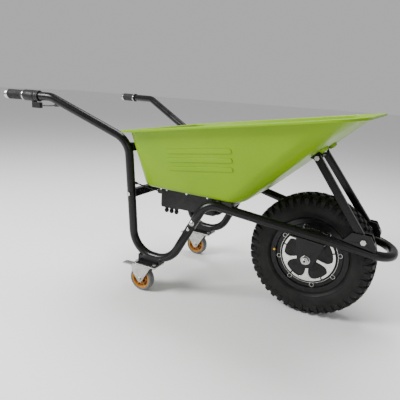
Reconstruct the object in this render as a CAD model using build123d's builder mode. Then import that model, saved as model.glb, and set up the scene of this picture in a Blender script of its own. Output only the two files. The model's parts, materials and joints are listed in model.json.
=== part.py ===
from build123d import *
import math
import os

# Power wheelbarrow: a tube frame on one driven wheel and two swivel casters, with a plastic tub.
# Millimetres. +X points to the drive wheel, +Z up, the operator's right-hand side is -Y.
# The origin is on the ground under the middle of the machine.

# ---- overall ----
overall_length = 1440.0  # from the grip ends to the front of the nose tube
nose_x = overall_length / 2
grip_end_x = -overall_length / 2
wheel_x = nose_x - 283.0  # drive wheel axle; every station below is measured from it

# ---- frame tube ----
tube_r = 16.0
tube_wall = 2.0

grip_end_y = 357.0
grip_end_z = 716.0
handle_bend = Vector(wheel_x - 950, -325, 716)
leg_top = Vector(wheel_x - 660, -235, 580)
leg_foot_rear = Vector(wheel_x - 630, -222, 150)
leg_foot_front = Vector(wheel_x - 468, -222, 150)
rail_start = Vector(wheel_x - 343, -203, 395)
nose_corner = Vector(nose_x - tube_r, -69, 287)
handle_radii = (70, 90, 94, 94)
rail_radii = (60, 78, 78, 60)
leg_joint_share = 0.62  # where the front leg is parted, along its straight
spigot_length = 45.0
spigot_clearance = 0.1

cross_bar_height = 30.0
cross_bar_depth = 20.0
cross_bar_z = 383.0
cross_bolt_head = 8.0

# ---- drive wheel ----
tyre_r = 225.0
tyre_half_width = 58.0
tyre_wall = 9.0
bead_r = 127.0
flange_r = 139.0
rim_half_width = 32.0
flange_thickness = 9.0
drum_inner_r = 104.0
cover_seat_y = 30.0
cover_recess_r = 121.0
cover_outer_r = 120.0
cover_face_y = 36.0
cover_bolt_r = 3.0
ring_inner_r = 88.5
ring_outer_r = 95.5
ring_y = 41.0
boss_r = 27.0
boss_y = 58.0
spoke_count = 5
spoke_phase = -17.0
spoke_root_r = 30.0
spoke_width = 14.0
valve_r = 124.0
valve_start_y = 12.0
valve_stem_r = 2.5
cover_bolt_circle_r = 110.0
cover_bolt_count = 8
cover_bolt_phase = 13.0
rim_well_r = 116.0
magnet_count = 24
magnet_inner_r = 97.0
magnet_half_width = 20.0
stator_r = 95.0
axle_r = 10.0
axle_end_r = 8.0
axle_half_length = 101.0
bearing_outer_r = 21.0
bearing_out_y = 47.0
bearing_in_y = 35.0
bearing_lip_r = 12.5
axle_collar_r = 13.0
cable_bore_r = 4.0
cable_bore_end_y = 30.0
running_clearance = 0.05
body_gap = 0.5

# ---- wheel brackets ----
bracket_inner_y = 78.0
bracket_thickness = 6.0
bracket_end_r = 31.0
axle_washer_r = 17.0
axle_washer_thickness = 2.5
axle_nut_r = 14.0

# ---- casters ----
caster_x = wheel_x - 555
caster_y = 227.0
caster_wheel_r = 50.0
caster_trail = 32.0
caster_height = 122.0
caster_plate_x = 94.0
caster_plate_y = 72.0
caster_plate_thickness = 4.0
caster_hole_x = 76.0
caster_hole_y = 54.0
caster_bolt_r = 4.0
adapter_thickness = 5.0
race_r = 27.0
race_height = 9.0
kingpin_r = 6.0
fork_thickness = 3.0
fork_half_width = 18.5
tread_half_width = 15.0
core_r = 39.0
caster_axle_r = 5.0
core_slot_count = 6
core_hub_r = 12.0
core_web_half = 6.0
fork_eye_r = 12.0
kingpin_head = 3.0
pedal_hinge_r = 3.0
pedal_hinge_z = 92.0
pedal_back = 34.0
pedal_length = 54.0
pedal_half_width = 14.0

# ---- tub ----
tub_floor_z = 409.0
tub_floor_rear_x = wheel_x - 624
tub_floor_front_x = wheel_x - 221
tub_floor_half_rear = 192.0
tub_floor_half_front = 204.0
tub_rim_rear_x = wheel_x - 646
tub_rim_front_x = wheel_x + 133
tub_rim_rear_z = 622.0
tub_rim_front_z = 733.0
tub_rim_half_rear = 270.0
tub_rim_half_front = 350.0
tub_wall = 5.0
tub_flange_side = 24.0
tub_flange_drop = 7.0
tub_floor_rear_corner_r = 48.0
tub_floor_front_corner_r = 62.0
tub_rim_rear_corner_r = 46.0
tub_rim_front_corner_r = 85.0
tub_flange_rear_corner_r = 46.0
tub_flange_front_corner_r = 95.0
tub_edge_r = 30.0
strap_reach_y = 185.0
strap_length = 90.0
strap_height = 30.0
strap_stub = 16.0
strap_stub_depth = 26.0
saddle_x = wheel_x - 270
saddle_length = 44.0
saddle_width = 24.0
saddle_screw_inset = 12.0

# ---- struts ----
strut_width = 25.0
strut_depth = 20.0
strut_top = Vector(wheel_x - 10, -71, 586)
strut_foot = Vector(wheel_x + 177, -90, 339)
strut_bolt_r = 5.0
strut_standoff = 15.0
strut_overhang = 13.0
strut_foot_overhang = 8.0
gusset_plate = 4.0

# ---- battery box ----
box_rear_x = wheel_x - 589
box_front_x = wheel_x - 350
box_half_width = 118.0
box_bottom_z = 322.0
box_wall = 3.0
box_lid_thickness = 6.0
box_nose_r = 24.0
box_step = 8.0
box_step_length = 70.0
gland_r = 9.0
gland_height = 8.0
gland_y = -80.0

# ---- handle fittings ----
grip_length = 86.0
grip_r = 18.0
grip_cap = 4.0
ring_length = 7.0
collar_length = 7.0
housing_r = 20.5
housing_length = 46.0
lever_length = 12.0
pod_top = 23.0
pod_bottom = 44.0
pod_start = 34.0
pod_width = 16.0
pod_length = 36.0
cable_r = 2.5
cable_turn_r = 26.0
cable_gland_reach = 14.0

os.makedirs("parts", exist_ok=True)


def save(shape, name):
    shape.label = name
    export_step(shape, f"parts/{name}.step")


def unit(start, end):
    return (end - start).normalized()


def mirrored(shape):
    with BuildPart() as other:
        add(shape)
        mirror(about=Plane.XZ, mode=Mode.REPLACE)
    return other.part


def tube_along(points, radii, outer, inner=0.0):
    """A round tube along straight runs joined by arcs."""
    with BuildPart() as tube:
        with BuildLine() as path:
            FilletPolyline(*points, radius=list(radii))
        with BuildSketch(Plane(origin=path.line @ 0, z_dir=path.line % 0)):
            Circle(outer)
            if inner:
                Circle(inner, mode=Mode.SUBTRACT)
        sweep(path=path.line)
    return tube.part


def straight_rod(start, end, radius, inner=0.0):
    """A round rod or bush between two points."""
    with BuildPart() as rod:
        with BuildSketch(Plane(origin=start, z_dir=unit(start, end))):
            Circle(radius)
            if inner:
                Circle(inner, mode=Mode.SUBTRACT)
        extrude(amount=(end - start).length)
    return rod.part


def hex_bolt(head_at, direction, radius, length, head_r, head_height):
    """A bolt with its head's underside at head_at and its shank along direction."""
    with BuildPart() as bolt:
        with BuildSketch(Plane(origin=head_at, z_dir=direction)):
            Circle(radius)
        extrude(amount=length)
        with BuildSketch(Plane(origin=head_at, z_dir=direction * -1)):
            RegularPolygon(head_r, 6)
        extrude(amount=head_height)
    return bolt.part


def nut(face_at, direction, radius, outer_r, height):
    """A hexagon nut standing on face_at, open right through."""
    with BuildPart() as part:
        with BuildSketch(Plane(origin=face_at, z_dir=direction)):
            RegularPolygon(outer_r, 6)
            Circle(radius, mode=Mode.SUBTRACT)
        extrude(amount=height)
    return part.part


def revolved_about_axle(outline, centre_x, centre_y, centre_z):
    """Turn an outline of (radius, offset along Y) about a wheel's axle."""
    section = Plane(origin=(centre_x, centre_y, centre_z), x_dir=(1, 0, 0), z_dir=(0, 0, 1))
    axle = Axis((centre_x, centre_y, centre_z), (0, 1, 0))
    with BuildPart() as ring:
        with BuildSketch(section):
            with BuildLine():
                Polyline(*outline, close=True)
            make_face()
        revolve(axis=axle)
    return ring.part


# ================= frame =================

grip_end = Vector(grip_end_x, -grip_end_y, grip_end_z)
handle_dir = unit(grip_end, handle_bend)
leg_joint = leg_foot_front + (rail_start - leg_foot_front) * leg_joint_share
front_leg_dir = unit(leg_foot_front, rail_start)
rail_dir = unit(rail_start, nose_corner)
tube_end = grip_end + handle_dir * grip_cap


def rail_at(x):
    """Point on the right rail's centre line at station x."""
    return rail_start + (nose_corner - rail_start) * ((x - rail_start.X) / (nose_corner.X - rail_start.X))


rail_under = tube_r / math.cos(math.asin(-rail_dir.Z))


def handle_frame(distance):
    """Plane across the right handle, a distance from the grip's end; local X points down."""
    return Plane(origin=grip_end + handle_dir * distance, x_dir=(0, 0, -1), z_dir=handle_dir)


handle_points = [tube_end, handle_bend, leg_top, leg_foot_rear, leg_foot_front, leg_joint]
cable_leaves = leg_top + (leg_foot_rear - leg_top) * 0.35
cable_enters = handle_bend + unit(handle_bend, leg_top) * 62
cable_to_box = Vector(box_rear_x - 32, -163, 398)
cable_gland = Vector(box_rear_x - cable_gland_reach, -96, 372)
pod_end = grip_length + ring_length + pod_start + pod_length
pod_middle = Vector(0, 0, -(pod_top + pod_bottom) / 2)
cable_start = grip_end + handle_dir * pod_end + pod_middle
cable_sag = grip_end + handle_dir * (pod_end + 28) + pod_middle
leg_hole_end = cable_leaves + unit(cable_leaves, cable_to_box) * 40
handle_hole_end = cable_enters + unit(cable_enters, cable_sag) * 55
hole_r = cable_r + 1.0

outer_leg_tube = tube_along(handle_points, handle_radii, tube_r)

with BuildPart() as right_handle_leg_tube:
    add(tube_along(handle_points, handle_radii, tube_r, tube_r - tube_wall))
    add(straight_rod(cable_leaves, leg_hole_end, hole_r), mode=Mode.SUBTRACT)
    add(straight_rod(cable_enters, handle_hole_end, hole_r), mode=Mode.SUBTRACT)
save(right_handle_leg_tube.part, "right_handle_leg_tube")

left_handle_leg_tube = mirrored(tube_along(handle_points, handle_radii, tube_r, tube_r - tube_wall))
save(left_handle_leg_tube, "left_handle_leg_tube")

def mirror_point(point):
    return Vector(point.X, -point.Y, point.Z)


loop_points = [leg_joint, rail_start, nose_corner]
loop_points += [mirror_point(point) for point in reversed(loop_points)]
front_rail_loop = tube_along(loop_points, rail_radii, tube_r, tube_r - tube_wall)
save(front_rail_loop, "front_rail_loop")

# spigots inside the parted front legs, each held by a domed bolt above and a small one below
spigot_r = tube_r - tube_wall - spigot_clearance
with BuildPart() as leg_joint_sleeves:
    add(straight_rod(
        leg_joint - front_leg_dir * spigot_length, leg_joint + front_leg_dir * spigot_length,
        spigot_r, spigot_r - tube_wall))
    mirror(about=Plane.XZ)
save(leg_joint_sleeves.part, "leg_joint_sleeves")

leg_side = (Vector(0, -1, 0) + front_leg_dir * front_leg_dir.Y).normalized()
with BuildPart() as leg_joint_bolts:
    for along, head in ((14.0, 9.0), (-14.0, 5.0)):
        seat = leg_joint + front_leg_dir * along + leg_side * tube_r
        with BuildSketch(Plane(origin=seat, z_dir=leg_side)):
            Circle(head)
        extrude(amount=head * 0.45)
    mirror(about=Plane.XZ)
save(leg_joint_bolts.part, "leg_joint_bolts")

# ---- rear cross bar between the legs ----
leg_dir = unit(leg_top, leg_foot_rear)
leg_at_bar = leg_top + leg_dir * ((leg_top.Z - cross_bar_z) / -leg_dir.Z)
with BuildPart() as rear_cross_bar:
    with BuildSketch(Plane.XZ.offset(leg_at_bar.Y)):
        with Locations((leg_at_bar.X, cross_bar_z)):
            Rectangle(cross_bar_depth, cross_bar_height)
            Rectangle(cross_bar_depth - 2 * tube_wall, cross_bar_height - 2 * tube_wall, mode=Mode.SUBTRACT)
    extrude(amount=-2 * leg_at_bar.Y)
    add(outer_leg_tube, mode=Mode.SUBTRACT)
    add(mirrored(outer_leg_tube), mode=Mode.SUBTRACT)
middle_of_bar = rear_cross_bar.part.solids().sort_by(SortBy.VOLUME)[-1]
save(middle_of_bar, "rear_cross_bar")

with BuildPart() as cross_bar_bolts:
    outer_side = leg_at_bar + Vector(0, -tube_r, 0)
    with BuildSketch(Plane(origin=outer_side, z_dir=(0, -1, 0))):
        RegularPolygon(cross_bolt_head, 6)
    extrude(amount=cross_bolt_head * 0.6)
    add(outer_leg_tube, mode=Mode.SUBTRACT)
    mirror(about=Plane.XZ)
save(cross_bar_bolts.part, "cross_bar_bolts")

# ---- adapter plates under the feet, each with two webs welded to the tube ----
with BuildPart() as right_caster_adapter:
    with BuildSketch(Plane.XY.offset(caster_height)):
        with Locations((caster_x, -caster_y)):
            RectangleRounded(caster_plate_x, caster_plate_y, 8)
            with GridLocations(caster_hole_x, caster_hole_y, 2, 2):
                Circle(caster_bolt_r, mode=Mode.SUBTRACT)
    extrude(amount=adapter_thickness)
    with BuildSketch(Plane.XY.offset(caster_height + adapter_thickness)):
        with Locations((caster_x, leg_foot_rear.Y)):
            with GridLocations(0, 2 * tube_r - adapter_thickness, 1, 2):
                Rectangle(caster_plate_x, adapter_thickness)
            with GridLocations(caster_plate_x - adapter_thickness, 0, 2, 1):
                Rectangle(adapter_thickness, 2 * tube_r)
    extrude(amount=leg_foot_rear.Z - caster_height - adapter_thickness)
    add(outer_leg_tube, mode=Mode.SUBTRACT)
right_adapter = right_caster_adapter.part.solids().sort_by(SortBy.VOLUME)[-1]
save(right_adapter, "right_caster_adapter_plate")
save(mirrored(right_adapter), "left_caster_adapter_plate")

plate_bottom = caster_height - caster_plate_thickness
with BuildPart() as caster_bolts:
    with GridLocations(caster_hole_x, caster_hole_y, 2, 2):
        with Locations((caster_x, -caster_y, plate_bottom)):
            Cylinder(caster_bolt_r - running_clearance, caster_plate_thickness + adapter_thickness + 5,
                     align=(Align.CENTER, Align.CENTER, Align.MIN))
            Cylinder(caster_bolt_r + 2.5, 4, align=(Align.CENTER, Align.CENTER, Align.MAX))
        with Locations((caster_x, -caster_y, caster_height + adapter_thickness)):
            Cylinder(caster_bolt_r + 2.5, 5, align=(Align.CENTER, Align.CENTER, Align.MIN))
    add(right_adapter, mode=Mode.SUBTRACT)
    mirror(about=Plane.XZ)
save(caster_bolts.part, "caster_bolts")

# ---- wheel brackets: a plate round the axle with a flange welded under the rail ----
bracket_rear_x = wheel_x - 47
bracket_front_x = wheel_x + 63


def rail_underside(x):
    return (x, rail_at(x).Z - rail_under)


rail_out = Vector(rail_dir.Y, -rail_dir.X, 0).normalized()
with BuildPart() as right_wheel_bracket:
    with BuildSketch(Plane.XZ.offset(bracket_inner_y)):
        with BuildLine():
            CenterArc((wheel_x, tyre_r), bracket_end_r, 0, 360)
            Line(rail_underside(bracket_rear_x), rail_underside(bracket_front_x))
        make_hull()
        with Locations((wheel_x, tyre_r)):
            Circle(axle_end_r + running_clearance, mode=Mode.SUBTRACT)
    extrude(amount=bracket_thickness)
    with BuildSketch(Plane.XZ.offset(bracket_inner_y)):
        with BuildLine():
            rear_top = rail_underside(bracket_rear_x)
            front_top = rail_underside(bracket_front_x)
            rear_low = (rear_top[0], rear_top[1] - bracket_thickness)
            front_low = (front_top[0], front_top[1] - bracket_thickness)
            Polyline(rear_top, front_top, front_low, rear_low, close=True)
        make_face()
    extrude(amount=80)
    split(bisect_by=Plane(origin=rail_at(wheel_x) + rail_out * 8, z_dir=rail_out), keep=Keep.BOTTOM)
save(right_wheel_bracket.part, "right_wheel_bracket")
save(mirrored(right_wheel_bracket.part), "left_wheel_bracket")

# ---- nose gussets: a channel on the rail that takes the strut's foot ----
gusset_slot = strut_depth + 5.0
gusset_rear_x = strut_foot.X - 66
gusset_front_x = strut_foot.X + 40


def rail_topside(x):
    return (x, rail_at(x).Z + rail_under)


with BuildPart() as right_nose_gusset:
    with BuildSketch(Plane.XZ.offset(-strut_foot.Y - gusset_slot / 2 - gusset_plate)):
        with BuildLine():
            Polyline(
                rail_topside(gusset_rear_x), (strut_foot.X - 38, strut_foot.Z + 25),
                (strut_foot.X + 20, strut_foot.Z + 23), (gusset_front_x, strut_foot.Z - 12),
                rail_topside(gusset_front_x), close=True)
        make_face()
        with Locations((strut_foot.X, strut_foot.Z)):
            Circle(strut_bolt_r, mode=Mode.SUBTRACT)
    extrude(amount=gusset_slot + 2 * gusset_plate)
    with BuildSketch(Plane.XZ.offset(-strut_foot.Y - gusset_slot / 2)):
        with BuildLine():
            low_rear = rail_topside(gusset_rear_x - 20)
            low_front = rail_topside(gusset_front_x - 2 * gusset_plate)
            Polyline(
                (low_rear[0], low_rear[1] + gusset_plate), (low_front[0], low_front[1] + gusset_plate),
                (low_front[0], strut_foot.Z + 60), (low_rear[0], strut_foot.Z + 60), close=True)
        make_face()
    extrude(amount=gusset_slot, mode=Mode.SUBTRACT)
save(right_nose_gusset.part, "right_nose_gusset")
save(mirrored(right_nose_gusset.part), "left_nose_gusset")

# ================= tub =================

floor_rear = Vector(tub_floor_rear_x, 0, tub_floor_z)
floor_front = Vector(tub_floor_front_x, 0, tub_floor_z)
rim_rear = Vector(tub_rim_rear_x, 0, tub_rim_rear_z)
rim_front = Vector(tub_rim_front_x, 0, tub_rim_front_z)
rim_run = unit(rim_rear, rim_front)
rim_length = (rim_front - rim_rear).length
floor_length = tub_floor_front_x - tub_floor_rear_x
rim_plane = Plane(origin=rim_rear, x_dir=rim_run, z_dir=rim_run.cross(Vector(0, 1, 0)))
floor_plane = Plane(origin=floor_rear, x_dir=(1, 0, 0), z_dir=(0, 0, 1))


front_wall_dir = unit(floor_front, rim_front)
front_wall_out = Vector(front_wall_dir.Z, 0, -front_wall_dir.X)
rear_wall_dir = unit(floor_rear, rim_rear)
rear_wall_out = Vector(-rear_wall_dir.Z, 0, rear_wall_dir.X)
side_spread = (tub_rim_half_rear + tub_rim_half_front - tub_floor_half_rear - tub_floor_half_front) / 2
side_rise = (tub_rim_rear_z + tub_rim_front_z) / 2 - tub_floor_z
side_lean = math.atan2(side_spread, side_rise)


def tub_outline(plane, length, half_rear, half_front, round_rear, round_front, rear=0.0, front=0.0, side=0.0):
    """A rounded trapezium from the rear edge forward, grown at its rear, front and sides."""
    with BuildSketch(plane) as outline:
        with BuildLine():
            Polyline(
                (-rear, -half_rear - side), (length + front, -half_front - side),
                (length + front, half_front + side), (-rear, half_rear + side), close=True)
        make_face()
        fillet(outline.vertices().group_by(Axis.X)[0], round_rear)
        fillet(outline.vertices().group_by(Axis.X)[-1], round_front)
    return outline.sketch


def tub_body(wall):
    """The tub's tapered body inside walls of this thickness; with 0 it is the outer shape."""
    side = wall / math.cos(side_lean)
    with BuildPart() as body:
        add(tub_outline(
            floor_plane.offset(wall), floor_length, tub_floor_half_rear, tub_floor_half_front,
            tub_floor_rear_corner_r - wall, tub_floor_front_corner_r - wall,
            rear=-wall * (1 + rear_wall_dir.X) / rear_wall_dir.Z,
            front=-wall * (1 - front_wall_dir.X) / front_wall_dir.Z,
            side=-side + wall * math.tan(side_lean)))
        add(tub_outline(
            rim_plane, rim_length, tub_rim_half_rear, tub_rim_half_front,
            tub_rim_rear_corner_r - wall, tub_rim_front_corner_r - wall,
            rear=-wall / -rear_wall_out.dot(rim_run), front=-wall / front_wall_out.dot(rim_run), side=-side))
        loft()
        fillet(body.faces().sort_by(Axis.Z)[0].edges(), tub_edge_r - wall)
    return body.part


def rim_slab(trim, thickness):
    """A slab hanging from the rim plane, out to the flange's edge less a trim."""
    with BuildPart() as slab:
        add(tub_outline(
            rim_plane.offset(-tub_flange_drop), rim_length, tub_rim_half_rear, tub_rim_half_front,
            tub_flange_rear_corner_r - trim, tub_flange_front_corner_r - trim,
            rear=tub_flange_side - trim, front=tub_flange_side - trim, side=tub_flange_side - trim))
        extrude(amount=thickness, dir=rim_plane.z_dir)
    return slab.part


with BuildPart() as tub:
    add(rim_slab(0.0, tub_flange_drop))
    add(rim_slab(tub_wall, tub_flange_drop - tub_wall), mode=Mode.SUBTRACT)
    add(tub_body(0.0))
    add(tub_body(tub_wall), mode=Mode.SUBTRACT)
save(tub.part, "tub")

# ================= struts and tub fixings =================

above_wall_foot = strut_top - floor_front
wall_seat = floor_front + front_wall_dir * above_wall_foot.dot(front_wall_dir)
strut_head = Vector(wall_seat.X, strut_top.Y, wall_seat.Z) + front_wall_out * strut_standoff
strut_dir = unit(strut_head, strut_foot)
strut_side = strut_dir.cross(Vector(0, 1, 0)).normalized()
strut_start = strut_head - strut_dir * strut_overhang

with BuildPart() as right_front_strut:
    with BuildSketch(Plane(origin=strut_start, x_dir=strut_side, z_dir=strut_dir)):
        RectangleRounded(strut_width, strut_depth, 3)
        RectangleRounded(strut_width - 2 * tube_wall, strut_depth - 2 * tube_wall, 1, mode=Mode.SUBTRACT)
    extrude(amount=(strut_foot - strut_start).length + strut_foot_overhang)
    for point in (strut_head, strut_foot):
        with BuildSketch(Plane.XZ.offset(-point.Y - strut_depth)):
            with Locations((point.X, point.Z)):
                Circle(strut_bolt_r)
        extrude(amount=2 * strut_depth, mode=Mode.SUBTRACT)
save(right_front_strut.part, "right_front_strut")
save(mirrored(right_front_strut.part), "left_front_strut")


def cross_bolt(centre, near_y, far_y, radius, head_r):
    """A bolt along Y from its head at near_y to its nut at far_y."""
    with BuildPart() as bolt:
        with BuildSketch(Plane.XZ.offset(-near_y)):
            with Locations((centre.X, centre.Z)):
                Circle(radius)
        extrude(amount=near_y - far_y)
        with BuildSketch(Plane.XZ.offset(-near_y)):
            with Locations((centre.X, centre.Z)):
                RegularPolygon(head_r, 6)
        extrude(amount=head_r * 0.6)
        with BuildSketch(Plane.XZ.offset(-far_y)):
            with Locations((centre.X, centre.Z)):
                RegularPolygon(head_r, 6)
        extrude(amount=-head_r * 0.6)
    return bolt.part


strut_outer_y = strut_top.Y - strut_depth / 2 - 2
strut_top_bolt = cross_bolt(strut_head, strut_outer_y, -strut_outer_y, strut_bolt_r - running_clearance, 9)
save(strut_top_bolt, "strut_top_bolt")

gusset_outer_y = strut_foot.Y - gusset_slot / 2 - gusset_plate
gusset_inner_y = strut_foot.Y + gusset_slot / 2 + gusset_plate
with BuildPart() as strut_foot_bolts:
    add(cross_bolt(strut_foot, gusset_outer_y, gusset_inner_y, strut_bolt_r - running_clearance, 10))
    mirror(about=Plane.XZ)
save(strut_foot_bolts.part, "strut_foot_bolts")

# bracket on the tub's front wall, between the struts
bracket_half_width = -strut_top.Y - strut_depth / 2 - 6
with BuildPart() as tub_front_bracket:
    with BuildSketch(Plane.XZ.offset(bracket_half_width)):
        with BuildLine():
            CenterArc((strut_head.X, strut_head.Z), strut_standoff - 2, 0, 360)
            wall_low = wall_seat - front_wall_dir * 26
            wall_high = wall_seat + front_wall_dir * 26
            Line((wall_low.X, wall_low.Z), (wall_high.X, wall_high.Z))
        make_hull()
        with Locations((strut_head.X, strut_head.Z)):
            Circle(strut_bolt_r, mode=Mode.SUBTRACT)
    extrude(amount=-2 * bracket_half_width)
    with BuildSketch(Plane(origin=wall_seat + front_wall_out * gusset_plate,
                           x_dir=(0, 1, 0), z_dir=front_wall_out)):
        Rectangle(2 * bracket_half_width - 2 * gusset_plate, 90)
    extrude(amount=50, mode=Mode.SUBTRACT)
save(tub_front_bracket.part, "tub_front_bracket")

# straps on the tub's rear wall, welded to the leg bends
strap_z = 560.0
strap_on_wall = floor_rear + rear_wall_dir * ((strap_z - floor_rear.Z) / rear_wall_dir.Z)
strap_face = Plane(origin=strap_on_wall, x_dir=(0, 1, 0), z_dir=rear_wall_out)
with BuildPart() as tub_rear_brackets:
    with BuildSketch(strap_face):
        with Locations((-strap_reach_y, 0)):
            Rectangle(strap_length, strap_height)
    extrude(amount=bracket_thickness)
    with BuildSketch(strap_face):
        with Locations((-strap_reach_y - strap_length / 2 + strap_stub / 2, 0)):
            Rectangle(strap_stub, strap_height)
    extrude(amount=strap_stub_depth)
    add(outer_leg_tube, mode=Mode.SUBTRACT)
right_strap = tub_rear_brackets.part.solids().sort_by(Axis.X)[-1]
with BuildPart() as both_straps:
    add(right_strap)
    mirror(about=Plane.XZ)
save(both_straps.part, "tub_rear_brackets")

# saddles welded on the rails under the tub's floor
saddle_at = rail_at(saddle_x)
with BuildPart() as tub_saddles:
    with BuildSketch(Plane.XY.offset(tub_floor_z)):
        with Locations((saddle_x, saddle_at.Y + 6)):
            RectangleRounded(saddle_length, saddle_width, 4)
    extrude(amount=saddle_at.Z - tub_floor_z)
    add(tube_along(loop_points, rail_radii, tube_r), mode=Mode.SUBTRACT)
right_saddle = tub_saddles.part.solids().sort_by(Axis.Z)[-1]
with BuildPart() as both_saddles:
    add(right_saddle)
    mirror(about=Plane.XZ)
save(both_saddles.part, "tub_saddles")

# screws inside the tub: two in each saddle, two in each rear strap, two in the front bracket
screw_head_r = 8.0
screw_head_height = 4.0


def tub_screw(seat, into):
    """A domed screw head on the tub's inner face."""
    with BuildPart() as screw:
        with BuildSketch(Plane(origin=seat, z_dir=into * -1)):
            Circle(screw_head_r)
        extrude(amount=screw_head_height)
        fillet(screw.faces().sort_by(Axis(seat, into * -1))[-1].edges(), 1.5)
    return screw.part


with BuildPart() as tub_bolts:
    for x_offset in (-12, 12):
        seat = Vector(saddle_x + x_offset, saddle_at.Y + saddle_screw_inset, tub_floor_z + tub_wall)
        add(tub_screw(seat, Vector(0, 0, -1)))
    for y_offset in (-20, 20):
        seat = strap_on_wall - rear_wall_out * tub_wall + Vector(0, -strap_reach_y + 10 + y_offset, 0)
        add(tub_screw(seat, rear_wall_out))
    add(tub_screw(wall_seat - front_wall_out * tub_wall + Vector(0, -30, 0), front_wall_out))
    add(tub.part, mode=Mode.SUBTRACT)
    mirror(about=Plane.XZ)
save(tub_bolts.part, "tub_bolts")

# ================= battery box =================

box_length = box_front_x - box_rear_x
box_middle_x = (box_front_x + box_rear_x) / 2
lid_z = tub_floor_z - box_lid_thickness
with BuildPart() as battery_box:
    with BuildSketch(Plane.XY.offset(box_bottom_z)):
        with Locations((box_middle_x, 0)):
            RectangleRounded(box_length, 2 * box_half_width, 12)
    extrude(amount=lid_z - box_bottom_z)
    with BuildSketch(Plane.XY.offset(box_bottom_z)):
        with Locations((box_rear_x + box_step_length / 2, 0)):
            Rectangle(box_step_length, 2 * box_half_width - 24)
    extrude(amount=-box_step)
    with BuildSketch(Plane.XZ.offset(box_half_width - 24)):
        with Locations((box_front_x, box_bottom_z + box_nose_r)):
            Circle(box_nose_r)
    extrude(amount=-2 * (box_half_width - 24))
    with BuildSketch(Plane.XY.offset(box_bottom_z + box_wall)):
        with Locations((box_middle_x, 0)):
            RectangleRounded(box_length - 2 * box_wall, 2 * (box_half_width - box_wall), 9)
    extrude(amount=lid_z - box_bottom_z, mode=Mode.SUBTRACT)
save(battery_box.part, "battery_box")

with BuildPart() as battery_box_lid:
    with BuildSketch(Plane.XY.offset(lid_z)):
        with Locations((box_middle_x, 0)):
            RectangleRounded(box_length + 8, 2 * box_half_width + 8, 14)
    extrude(amount=box_lid_thickness)
save(battery_box_lid.part, "battery_box_lid")

with BuildPart() as box_screws:
    for x in (box_rear_x + 30, box_middle_x, box_front_x - 30):
        with BuildSketch(Plane.XZ.offset(box_half_width)):
            with Locations((x, lid_z - 14)):
                Circle(4)
        extrude(amount=2.5)
    mirror(about=Plane.XZ)
save(box_screws.part, "box_screws")

inside_z = box_bottom_z + box_wall
with BuildPart() as battery_pack:
    with BuildSketch(Plane.XY.offset(inside_z)):
        with Locations((box_middle_x, 34)):
            RectangleRounded(box_length - 2 * box_wall - 20, 130, 6)
    extrude(amount=64)
save(battery_pack.part, "battery_pack")

with BuildPart() as motor_controller:
    with BuildSketch(Plane.XY.offset(inside_z)):
        with Locations((box_middle_x, -72)):
            Rectangle(110, 60)
    extrude(amount=36)
    with GridLocations(0, 10, 1, 5):
        with Locations((box_middle_x, -72, inside_z + 36)):
            Box(100, 3, 6, align=(Align.CENTER, Align.CENTER, Align.MIN))
save(motor_controller.part, "motor_controller")

# ================= handles =================


def on_handle(distance, length, outer, inner):
    """A ring round the right handle."""
    with BuildPart() as ring:
        with BuildSketch(handle_frame(distance)):
            Circle(outer)
            Circle(inner, mode=Mode.SUBTRACT)
        extrude(amount=length)
    return ring.part


with BuildPart() as right_grip:
    with BuildSketch(handle_frame(0)):
        Circle(grip_r)
    extrude(amount=grip_length)
    with BuildSketch(handle_frame(grip_cap)):
        Circle(tube_r)
    extrude(amount=grip_length, mode=Mode.SUBTRACT)
    fillet(right_grip.faces().sort_by(Axis.X)[0].edges(), 3)
save(right_grip.part, "right_grip")
save(mirrored(right_grip.part), "left_grip")

with BuildPart() as grip_rings:
    add(on_handle(grip_length, ring_length, grip_r + 1, tube_r))
    mirror(about=Plane.XZ)
save(grip_rings.part, "grip_rings")

housing_start = grip_length + ring_length
left_collar = mirrored(on_handle(housing_start, collar_length, grip_r + 1.5, tube_r))
save(left_collar, "left_handle_collar")

housing_end = housing_start + housing_length
with BuildPart() as throttle_housing:
    add(on_handle(housing_start, housing_length, housing_r, tube_r))
    with BuildSketch(handle_frame(housing_start + pod_start)):
        with Locations(((pod_top + pod_bottom) / 2, 0)):
            Rectangle(pod_bottom - pod_top, pod_width)
    extrude(amount=pod_length)
    with BuildSketch(handle_frame(housing_start + pod_start)):
        with Locations((pod_top, 0)):
            Rectangle(2 * (pod_top - tube_r - 1), pod_width)
    extrude(amount=housing_length - pod_start)
    add(on_handle(housing_end + lever_length + 2 * body_gap, collar_length, housing_r, tube_r))
save(throttle_housing.part, "throttle_housing")

lever_start = housing_end + body_gap
with BuildPart() as throttle_lever:
    add(on_handle(lever_start, lever_length, housing_r - 0.5, tube_r + running_clearance))
    with BuildSketch(handle_frame(lever_start)):
        with Locations((0, housing_r + 8)):
            Rectangle(6, 24)
    extrude(amount=lever_length)
    with BuildSketch(handle_frame(lever_start)):
        with Locations((0, housing_r + 16)):
            Rectangle(6, 12)
    extrude(amount=30)
    add(straight_rod(grip_end, grip_end + handle_dir * 300, tube_r + running_clearance), mode=Mode.SUBTRACT)
save(throttle_lever.part, "throttle_lever")

# ---- throttle cable: from the housing into the tube, down the leg and into the box ----
cable_points = [cable_start, cable_sag, cable_enters, leg_top, cable_leaves, cable_to_box, cable_gland]


def turn_radii(points, share=0.45):
    """The largest arcs that fit: a share of the shorter run over the tangent of half the turn."""
    radii = []
    for before, corner, after in zip(points, points[1:], points[2:]):
        turn = math.radians((corner - before).get_angle(after - corner))
        run = min((corner - before).length, (after - corner).length)
        radii.append(share * run / math.tan(turn / 2))
    return radii


cable_radii = turn_radii(cable_points)
cable_radii[1] = cable_turn_r
cable_radii[2] = handle_radii[1]
cable_radii[3] = cable_turn_r
print("throttle cable radii", [round(radius, 1) for radius in cable_radii])
throttle_cable = tube_along(cable_points, cable_radii, cable_r)
save(throttle_cable, "throttle_cable")

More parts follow.
